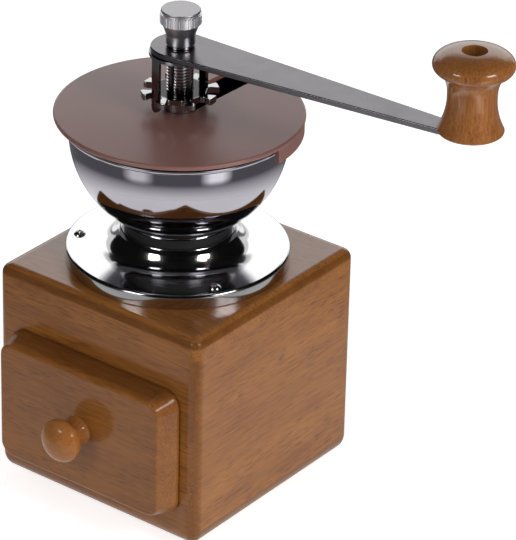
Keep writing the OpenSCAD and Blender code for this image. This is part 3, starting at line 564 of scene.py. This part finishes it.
def drawer_front():
    """Rows of rounded rectangles: inset and depth follow the lip, the slope and the flat face."""
    path = rounded([(-0.01, 0.3), (0, 0.3), (0, 1.8, 0.7), (BEVEL, FRONT_T, 1.4), (SLOPE_END, FRONT_T)])
    path = np.vstack([[0.3, 0], path[1:]])
    rows = [lifted(outline(FRONT_W / 2 - i, FRONT_H / 2 - i, max(LIP_R - 0.75 * i, 2)), depth)
            for i, depth in path]
    centre = np.zeros((1, rows[0].shape[0], 3))
    grid = np.concatenate([centre + [0, 0, path[0, 1]], np.stack(rows), centre + [0, 0, FRONT_T]])
    x, z, depth = np.moveaxis(grid, -1, 0)
    grid = np.stack([x, FRONT_Y - depth, FRONT_Z + z], -1)
    return surface("drawer_face", [grid], drawer_wood, *DRAWER, ["drawer_front"], sharp=45)


def pull():
    """A turned mushroom along -Y: a concave stem, then a flattened ball."""
    low, high = span("drawer_knob")
    length, head_l = high[1] - low[1], HEAD_R * 1.15
    neck = length - head_l
    t = np.linspace(0, 1, 10)
    stem = np.stack([STEM_R + 1.6 * (1 - t) ** 2, neck * t * 0.9], -1)
    a = np.radians(np.linspace(-68, 90, 40))
    head = np.stack([HEAD_R * np.cos(a), neck + head_l * (0.45 + 0.55 * np.sin(a))], -1)
    profile = np.vstack([[[0, length * 0.6], [2, length * 0.6], [2, 0]], stem, head])
    x, z, depth = np.moveaxis(ring(profile, 96), -1, 0)
    grid = np.stack([x, FRONT_Y - FRONT_T - depth, FRONT_Z + z], -1)
    return surface("pull", [grid], pull_wood, "drawer", "turned_wood", ["drawer_knob"], sharp=50)


drawer_front()
pull()

# %% [markdown]
# ## Throat, bowl and rubber ring
#
# The throat is a zinc casting: a round flange that flares up into a neck, and a spigot that sits in
# the wood. The bowl is spun from sheet and its rim is rolled over a wire. Both are plated. A Screw
# modifier could turn their profiles. Turning them by formula puts many rows where the metal curves,
# because a mirror shows every flat step, and the profile comes back to its start, so the wall is real.

# %% Throat and bowl
FLANGE_Z, NECK_Z, BOWL_Z = 116.8, span("throat_casting")[1][2], span("bowl")[0][2]
BOWL_R, BOWL_T, FOOT_R, MOUTH_R = 50, 1.2, 26.5, 18.5
FOOT_H, WALL_H = 1, 4.9
BOWL_C = BOWL_Z + FOOT_H + math.sqrt(BOWL_R ** 2 - FOOT_R ** 2)
BEAD_Z, BEAD_R, BEAD_OUT = BOWL_C + WALL_H, 2, 1.6
FLANGE_R, NECK_R, FLARE_R, FLARE_H = 51.5, 27, 40, 7.6
BURR_SEAT_R, BURR_SEAT_Z, SPIGOT_Z0 = 23.5, 118, 96


def throat():
    """A turned profile: spigot, flange with a round rim, flare z = h (1 - t)^3, neck and mouth."""
    below = [(MOUTH_R, NECK_Z), (MOUTH_R, BURR_SEAT_Z), (BURR_SEAT_R, BURR_SEAT_Z),
             (BURR_SEAT_R, SPIGOT_Z0), (SPIGOT_R, SPIGOT_Z0), (SPIGOT_R, BOX_Z1),
             (FLANGE_R, BOX_Z1, 0.4), (FLANGE_R, FLANGE_Z, 1.4), (FLARE_R + 2, FLANGE_Z)]
    t = np.linspace(1, 0, 40)
    flare = np.stack([NECK_R + (FLARE_R - NECK_R) * t, FLANGE_Z + FLARE_H * (1 - t) ** 3], -1)
    lip = [[NECK_R - 0.5, NECK_Z - 0.4], [NECK_R - 0.9, NECK_Z]]
    profile = np.vstack([rounded(below, 10), flare, lip])
    return surface("throat", [ring(profile, 192)], chrome, "housing", "chrome",
                   ["throat_casting"], close_rows=True)


def bowl():
    """A turned profile: foot, sphere, upright wall, rolled bead, and the same inside."""
    start = math.degrees(math.asin(FOOT_R / BOWL_R)) - 90
    outside = arc((0, BOWL_C), BOWL_R, start, 0, 60)
    meet = math.degrees(math.acos(BEAD_OUT / BEAD_R))
    bead = arc((BOWL_R + BEAD_OUT, BEAD_Z), BEAD_R, 180 + meet, 450, 30)
    inner_r = BOWL_R - BOWL_T
    deep = math.degrees(math.asin((BOWL_C - BOWL_Z - BOWL_T) / inner_r))
    inside = arc((0, BOWL_C), inner_r, 0, -deep, 60)
    rim = [[inner_r + 0.6, BEAD_Z + BEAD_R], [inner_r, BEAD_Z + BEAD_R - 0.6]]
    foot = rounded([(MOUTH_R, BOWL_Z), (FOOT_R, BOWL_Z, 0.45), (FOOT_R, BOWL_Z + FOOT_H)], 5)[:-1]
    profile = np.vstack([foot, outside, bead, rim, inside, [[MOUTH_R, BOWL_Z + BOWL_T]]])
    return surface("bowl_shell", [ring(profile, 256)], bowl_chrome, "housing", "chrome", ["bowl"],
                   close_rows=True, sharp=40)


throat()
bowl()
print("bowl centre z =", round(BOWL_C, 1), "bead z =", round(BEAD_Z, 1))

# %% [markdown]
# ## Threaded shaft
#
# The thread is cut on a lathe. Its crest is the full radius, and a triangle wave along the height,
# turned once per pitch, gives the groove. It fades out at both ends. Above it the shank has two flats
# for the crank, and a stud for the cap nut. A helix could be cut out of a cylinder with a Boolean, but
# that leaves thin, broken faces. Here the groove is only a change of the radius, so the skin stays one.

# %% Shaft
THREAD_R, SHANK_R, STUD_R, FLAT_R, END_R, PITCH = 6, 5, 4, 3.9, 3.5, 1.5
GROOVE, THREAD_DROP, THREAD_GAP = 0.85, 19, 2.4
CUP_T, STOP_T = 1, 1.5
CRANK_ANGLE = math.radians(4.5)
STAR_Z0, ARM_Z1 = span("star_nut")[0][2], span("crank_arm")[1][2]
STOP_Z = span("crank_arm")[0][2] - STOP_T


def shaft():
    """r = crest - depth * triangle(z / pitch - a / turn), then flats |x| <= f through the arm."""
    low, high = span("shaft")[0][2], span("shaft")[1][2]
    seat = span("cone_burr")[1][2] + CUP_T
    step, plain = STAR_Z0 - THREAD_DROP, STOP_Z - THREAD_GAP
    z = np.concatenate([[low, low], [seat, seat, step], np.arange(step + 0.01, plain, PITCH / 10),
                        [plain + 0.4, STOP_Z, STOP_Z, ARM_Z1, ARM_Z1, high - 0.4, high, high]])
    r = np.full(len(z), float(THREAD_R))
    r[[0, -1]] = 0
    r[1:3], r[3:5], r[-6:-4], r[-4:-2], r[-2] = STUD_R, SHANK_R, SHANK_R, FLAT_R, END_R
    angle = np.arange(72) * TURN / 72
    wave = (z[:, None] / PITCH - angle / TURN) % 1
    groove = np.clip(1.15 - np.abs(2 * wave - 1) * 2.3, 0, 1) * GROOVE
    threaded = ((z > step) & (z < plain))[:, None]
    fade = np.clip((z - step) / 2, 0, 1)[:, None] * np.clip((plain - z) / 1.5, 0, 1)[:, None]
    radius = r[:, None] - groove * threaded * fade
    flat = ((z >= STOP_Z) & (z <= ARM_Z1) & (r == SHANK_R))[:, None]
    chord = FLAT_R / np.maximum(np.abs(np.cos(angle)), 1e-3)
    radius = np.where(flat, np.minimum(radius, chord), radius)
    turned = angle + CRANK_ANGLE
    grid = np.stack([radius * np.cos(turned), radius * np.sin(turned), z[:, None] + 0 * angle], -1)
    return surface("shaft_thread", [grid], bright_steel, "shaft", "steel", ["shaft"], sharp=50)


shaft()

# %% [markdown]
# ## Crank knob
#
# The knob is turned in the same kind of wood as the pull: a bell that narrows to a waist, a round rim,
# and a domed top. The head of its pin sits in a counterbore in the top. Its outline could be drawn as
# a Bezier curve. A square, a cube and an arc describe it with fewer numbers and meet without a kink.

# %% Crank knob
ARM_L = 149
KNOB_H, BASE_EDGE = 38, 1.2


def crank_knob():
    """A turned profile: a bell r = waist + c u^2, a cove r = waist + c t^3, a rim arc and a dome."""
    bottom = span("crank_knob")[0][2]
    base_r, waist_r, head_r, bore_r, bore_h, pin_r = 14.5, 10.8, 17.8, 5.3, 9, 3.05
    rim_r, h = head_r * 0.2, KNOB_H
    waist_z, head_z = h * 0.42, h * 0.83
    base = arc((base_r - BASE_EDGE, BASE_EDGE), BASE_EDGE, -90, 0, 8)
    t = np.linspace(0, 1, 24)[1:]
    bell = np.stack([waist_r + (base_r - waist_r) * (1 - t) ** 2,
                     BASE_EDGE + (waist_z - BASE_EDGE) * t], -1)
    rim = arc((head_r - rim_r, head_z), rim_r, -80, 0, 18)
    cove = np.stack([waist_r + (rim[0, 0] - waist_r) * t ** 3,
                     waist_z + (rim[0, 1] - waist_z) * t], -1)
    a = np.radians(np.linspace(0, 84, 30)[1:])
    dome = np.stack([head_r * np.cos(a) ** 0.66, head_z + (h - head_z) * np.sin(a)], -1)
    dome = dome[dome[:, 0] > bore_r + 1]
    hole = [[bore_r + 0.3, h - 0.1], [bore_r, h - 0.6], [bore_r, h - bore_h], [pin_r, h - bore_h],
            [pin_r, 0]]
    grid = ring(np.vstack([base, bell, cove[:-1], rim, dome, hole]), 128)
    grid += [ARM_L * math.cos(CRANK_ANGLE), ARM_L * math.sin(CRANK_ANGLE), bottom]
    return surface("knob", [grid], knob_wood, "crank_knob", "turned_wood", ["crank_knob"],
                   close_rows=True, sharp=50)


crank_knob()
print("knob box:", *[c.round(1) for c in span("crank_knob")])

# %% [markdown]
# ## Cap nut
#
# The cap is turned from brass, knurled with straight ribs for the fingers, and plated. Below the grip
# it tapers to a plain neck. The ribs could be an Array of small bars round a cylinder. A wave on the
# radius makes them part of one closed skin, with soft feet as a knurling wheel leaves them. The finish
# changes with the height: the cone and the grip are rougher than the neck. Light and shade are painted
# into its colour as well: the grip is paler, as painted light, and the groove and the button above the
# ribs are darker, as painted shade.

# %% Cap nut
CAP_GAUGE = 20
RIBS = 36


def cap_plating_painted_light(t):
    """Plating that changes at three heights above the nut's foot, as shares of CAP_GAUGE.

    The grip is painted paler as painted light, and the top darker as painted shade.
    """
    up = (t.coordinate(2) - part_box("cap_nut")[0].z) / (CAP_GAUGE * MM)
    cone = t.rise(up, 0.24, 0.25)
    grip = t.rise(up, 0.495, 0.5)
    top = t.rise(up, 0.77, 0.79)
    # Painted light and shade: the grip is paler and the top is darker.
    tint = t.mix(grip, (0.92, 0.91, 0.93, 1), (1.0, 0.99, 1.0, 1))
    tint = t.mix(top, tint, (0.50, 0.49, 0.51, 1))
    return {"Base Color": tint, "Metallic": 1.0, "Roughness": 0.3 + cone * 0.06 + top * 0.1}


def cap_nut():
    """r(a, z) = base(z) + rib(z) * a smooth square wave of n a; the rows are (base, z, rib)."""
    z0 = span("cap_nut")[0][2]
    rows = np.array([(3.95, 12.9, 0), (3.95, 0, 0), (6.3, 0, 0), (6.7, 0.5, 0), (6.7, 4.8, 0),
                     (6.8, 5.1, 0), (8.4, 9.8, 0), (8.9, 10.05, 0), (8.9, 10.3, 0.5), (8.9, 14.6, 0.5),
                     (8.9, 14.9, 0), (8.1, 15.0, 0), (8.1, 15.4, 0), (8.75, 15.5, 0), (8.9, 15.7, 0),
                     (8.9, 16.2, 0), (8.6, 16.6, 0), (0, 16.6, 0)])
    angle = np.arange(12 * RIBS) * TURN / (12 * RIBS)
    wave = np.clip(0.5 + 1.1 * np.sin(RIBS * angle), 0, 1)
    base, height, rib = rows.T[:, :, None]
    radius = base + rib * wave
    grid = np.stack([radius * np.cos(angle), radius * np.sin(angle), height + z0 + 0 * angle], -1)
    return surface("cap", [grid], finish("cap_chrome_painted_light", cap_plating_painted_light), "cap_nut", "chrome", ["cap_nut"],
                   sharp=38)


cap_nut()

# %% [markdown]
# ## Burr spring
#
# A coil of steel wire between the spring cup and the lower bush presses the cone down. When the shaft
# rises to grind finer, the real coil's foot rises with it while its top stays, so the coil gets
# shorter by the travel of the adjustment. Here the coil is one fixed shape that rides with the shaft.
# A curve with a round bevel could make the coil.

# %% Burr spring
COILS, WIRE_R = 4, 0.5


def burr_spring():
    """A wire of radius w on a coil of radius R: r = R + w cos b, z = z0 + (z1 - z0) s + w sin b."""
    low, high = span("burr_spring")
    share = np.linspace(0, 1, COILS * 40 + 1)[:, None]
    section = np.arange(12)[None] * TURN / 12
    swell = WIRE_R * np.where((share == 0) | (share == 1), 0, 1)
    radius = high[0] - WIRE_R + swell * np.cos(section)
    height = low[2] + WIRE_R + (high[2] - low[2] - 2 * WIRE_R) * share + swell * np.sin(section)
    turn = COILS * TURN * share
    grid = np.stack([radius * np.cos(turn), radius * np.sin(turn), height], -1)
    spring = surface("spring", [grid], bright_steel, "shaft", "steel", ["burr_spring"], sharp=60)
    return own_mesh(spring)


burr_spring()
print("spring from z =", *[corner[2].round(1) for corner in span("burr_spring")])

# %% [markdown]
# ## Pressed and machined pieces
#
# Small pieces keep the shape that was packed. Their edges are broken slightly, as a file or a tumbling
# barrel leaves them, by a Bevel modifier on a cleaned copy. The star nut's teeth are also rounded at
# their upright corners. They could be modelled anew, but a copy is sure to fit, and on such small
# pieces only the light along an edge is missing.

# %% Finished copies
def finished_copy(node, material, body, slot, bevel, corner):
    """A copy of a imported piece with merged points, joined flat faces and narrow round edges."""
    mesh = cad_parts[node].data.copy()
    shape = bmesh.new()
    shape.from_mesh(mesh)
    bmesh.ops.remove_doubles(shape, verts=shape.verts, dist=2e-6)
    bmesh.ops.dissolve_limit(shape, angle_limit=math.radians(0.4), verts=shape.verts,
                             edges=shape.edges)
    if corner:
        upright = [e for e in shape.edges if abs(e.verts[0].co.z - e.verts[1].co.z) > 2 * MM
                   and e.calc_face_angle(0) > 0.8]
        bmesh.ops.bevel(shape, geom=upright, offset=corner * MM, segments=5, profile=0.5,
                        affect="EDGES")
    shape.to_mesh(mesh)
    shape.free()
    piece = mesh_piece("made_" + node, mesh, material, body, [node])
    edge = piece.modifiers.new("edge", "BEVEL")
    edge.width, edge.angle_limit = bevel * MM, math.radians(40)
    edge.segments = 3 if bevel > 0.4 else 2
    edge.use_clamp_overlap, edge.harden_normals = True, False
    return even_normals(piece)


copies = [("lid", lid_plastic, "lid", "lid_plastic", 0.3, 0),
          ("star_nut", star_chrome_painted_shade, "star_nut", "chrome", 0.3, 1.6),
          ("stop_plate", black_chrome, "shaft", "chrome", 0.25, 0),
          ("crank_arm", dark_chrome, "shaft", "dark_chrome", 0.5, 0),
          ("thrust_washer", bright_steel, "star_nut", "steel", 0.15, 0),
          ("upper_bush", satin_steel, "housing", "satin_steel", 0.2, 0),
          ("flange_screws", bright_steel, "housing", "steel", 0.1, 0),
          ("bowl_gasket", rubber, "housing", "rubber", 0.2, 0),
          ("feet", rubber, "housing", "rubber", 0.2, 0),
          ("knob_pin", bright_steel, "shaft", "steel", 0.3, 0),
          ("knob_washer", bright_steel, "shaft", "steel", 0.1, 0),
          ("cap_washer", bright_steel, "cap_washer", "steel", 0.1, 0),
          ("bridge", satin_steel, "housing", "satin_steel", 0.2, 0)]
for row in copies:
    finished_copy(*row)
print("finished copies:", len(copies), "pieces")

# %% [markdown]
# ## Pieces carried over
#
# The pieces inside the mill and the drawer's sides, back and bottom stay as they were packed and only
# get a material. Rounded copies would cost many faces, and nobody would see the difference.

# %% Carried over
plain = {"runner_left": bare_wood, "runner_right": bare_wood, "drawer_side_left": bare_wood,
         "drawer_side_right": bare_wood, "drawer_back": bare_wood, "drawer_bottom": bare_wood,
         "burr_ring": burr_ceramic, "cone_burr": burr_ceramic, "ring_retainer": satin_steel,
         "shaft_guide": satin_steel, "lower_bush": bronze, "retainer_screws": bright_steel,
         "bridge_screws": bright_steel, "drawer_knob_screw": bright_steel,
         "cone_washer": bright_steel, "cone_nut": bright_steel, "spring_cup": bright_steel}
for node, material in plain.items():
    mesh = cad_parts[node].data
    mesh.materials.clear()
    mesh.materials.append(material)
print("carried over:", len(plain), "pieces")

# %% [markdown]
# ## Stage helpers
#
# A lamp's place is given by an azimuth from the front, a height angle and a distance, as one would
# walk round a table with it, instead of by three coordinates. Everything else that isn't the mill goes
# through `staged`, so that it is left out when the mill is exported.

# %% Stage helpers
ROOM_R, ROOM_H = 3, 2.1
AIM_POINT = (0, 0, 0.12)


def around(azimuth, elevation, distance):
    """A place seen from the aim point under an azimuth and an elevation in degrees."""
    a, e = math.radians(azimuth), math.radians(elevation)
    away = Vector((math.sin(a) * math.cos(e), -math.cos(a) * math.cos(e), math.sin(e)))
    return Vector(AIM_POINT) + distance * away


def softbox(name, place, wide, tall, power, target=AIM_POINT):
    """A soft rectangular lamp that looks at a target."""
    lamp = bpy.data.lights.new(name, "AREA")
    lamp.shape, lamp.size, lamp.size_y, lamp.energy = "RECTANGLE", wide, tall, power
    holder = bpy.data.objects.new(name, lamp)
    bpy.context.scene.collection.objects.link(holder)
    holder.location = place
    holder.rotation_euler = (Vector(target) - place).to_track_quat("-Z", "Y").to_euler()
    return holder


def staged(name, points, faces, material, only_reflected=False):
    """A part of the set, which does not belong to the mill."""
    mesh = bpy.data.meshes.new(name)
    mesh.from_pydata(np.asarray(points).reshape(-1, 3).tolist(), [], np.asarray(faces).tolist())
    mesh.materials.append(material)
    item = bpy.data.objects.new(name, mesh)
    bpy.context.scene.collection.objects.link(item)
    if only_reflected:
        item.visible_camera = item.visible_diffuse = item.visible_shadow = False
        item.visible_transmission = item.visible_volume_scatter = False
    return item


def seen_rays(tree):
    """1 for rays from the camera, from a reflection or through glass, and 0 for others."""
    rays = [tree.add("LightPath", None, None, out=name)
            for name in ("Is Camera Ray", "Is Glossy Ray", "Is Transmission Ray")]
    return rays[0] + rays[1] + rays[2]


print("room:", ROOM_R, "m to the wall,", ROOM_H, "m high")

# %% [markdown]
# ## World and floor
#
# The mill stands on a pale, seamless sheet, and behind it all is white. Only the camera, reflections
# and glass see that white. As a source of light the sky is faint, so the sheet keeps the shadow.

# %% World and floor
world = bpy.data.worlds.new("sky")
bpy.context.scene.world = world
sky = Tree(world)
plain_sky = sky.add("Background", None, {"Color": (1, 1, 1, 1), "Strength": 0.12})
white_sky = sky.add("Background", None, {"Color": (1, 1, 1, 1), "Strength": 1.0})
sky.add("OutputWorld", None, {"Surface": sky.add("MixShader", None, {
    0: seen_rays(sky), 1: plain_sky, 2: white_sky})})

sheet = bpy.data.materials.new("sheet")
paper = Tree(sheet)
white = paper.add("BsdfPrincipled", None, {"Base Color": (0.82, 0.82, 0.82, 1), "Roughness": 0.9})
glow = paper.add("Emission", None, {"Color": (1, 1, 1, 1), "Strength": seen_rays(paper) * 0.7})
paper.add("OutputMaterial", None, {"Surface": paper.add("AddShader", None, {0: white, 1: glow})})
SHEET = 8
square = SHEET * np.array([(-1, -1, 0), (1, -1, 0), (1, 1, 0), (-1, 1, 0)], float)
staged("floor", square, [(0, 1, 2, 3)], sheet)
print("sheet:", 2 * SHEET, "m square")

# %% [markdown]
# ## What the plating reflects
#
# Polished metal shows its room. Black cloth hangs on all sides of the room but the one behind the
# mill, and under the ceiling, which gives the plating its dark, clear shapes. A third cloth lies just
# above the sheet. It glows white close round the mill and is dark beyond, with a glowing white card
# towards each lamp: these painted reflections draw the bright shapes in the bowl and in the neck. Only
# reflections show any of it.

# %% Reflected room
black_cloth = finish("black_cloth", lambda t: {"Base Color": (0.012, 0.011, 0.012, 1),
                                               "Roughness": 1.0})
bearing = AZIMUTH + np.radians(np.linspace(-140, 140, 41))
wall = np.stack([ROOM_R * np.sin(bearing), -ROOM_R * np.cos(bearing), 0 * bearing], -1)
staged("dark_wall", np.stack([wall, wall + [0, 0, ROOM_H]]),
       lattice(2, 41, False, False), black_cloth, only_reflected=True)
circle = np.radians(np.arange(0, 360, 6))
hoop = ROOM_R * np.stack([np.sin(circle), -np.cos(circle), 0 * circle], -1)
staged("dark_ceiling", np.stack([hoop * 0.001, hoop]) + [0, 0, ROOM_H],
       lattice(2, 60, False, True), black_cloth, only_reflected=True)
CLOTH_START, CLOTH_LIFT = 0.055, 0.0015


def card(t, azimuth):
    """A long card on the floor that points at the mill, soft at its edges: 1 on it, else 0.

    Its glow is a painted reflection.
    """
    x, y = math.sin(math.radians(azimuth)), -math.cos(math.radians(azimuth))
    along, across = [t.add("VectorMath", {"operation": "DOT_PRODUCT"}, {0: t.place(), 1: way}, out=1)
                     for way in ((x, y, 0), (-y, x, 0))]
    length = t.ramp(along, [(0.27, 0.0), (0.33, 1.0), (0.8, 1.0), (1.0, 0.0)])
    return t.ramp(abs(across / along), [(0.1, 1.0), (0.3, 0.0)]) * length


def floor_glow(t):
    """A glow, white round the mill, dark beyond, with a card towards each lamp: painted reflections."""
    near = t.ramp(t.from_axis(), [(0.18, 1.0), (0.29, 0.0)])
    light = near * 0.62 + card(t, -2) * 0.6 + card(t, 76)
    return {"Base Color": (0.03, 0.03, 0.032, 1), "Roughness": 1.0, "Emission Strength": 1.7,
            "Emission Color": t.mix(light, (0.07, 0.07, 0.075, 1), (1, 1, 1, 1))}


# This cloth glows white near the mill and along the cards: painted reflections.
staged("dark_and_glowing_floor", np.stack([hoop * CLOTH_START, hoop]) + [0, 0, CLOTH_LIFT],
       lattice(2, 60, False, True), finish("glowing_floor_cloth", floor_glow), only_reflected=True)

# %% [markdown]
# ## Lamps
#
# Two soft lamps show in the plating and in the varnish: a strong one to the right and a weaker one to
# the front left. Low, wide fills light the wood's faces without a highlight of their own. A large lamp
# behind the mill shows only in reflections.

# %% Lamps
softbox("right_lamp", around(89, 34, 1.35), 0.42, 0.30, 5.2)
softbox("left_lamp", around(-8, 34, 1.35), 0.38, 0.30, 3.6)
for name, azimuth, height, power, target_z in [
        ("right_fill", 85, 7, 11.5, 0.08), ("front_fill", 0, 7, 2.6, 0.08),
        ("back_fill", 180, 12, 4.0, 0.1), ("left_fill", 270, 12, 4.0, 0.1)]:
    fill = softbox(name, around(azimuth, height, 1.5), 1.2, 0.5, power, (0, 0, target_z))
    fill.visible_glossy = False
backdrop = softbox("backdrop_lamp", around(217, 24, 3.0), 3.2, 1.7, 14)
backdrop.visible_camera = backdrop.visible_diffuse = False
print("lamps:", [round(lamp.energy, 1) for lamp in bpy.data.lights], "W")
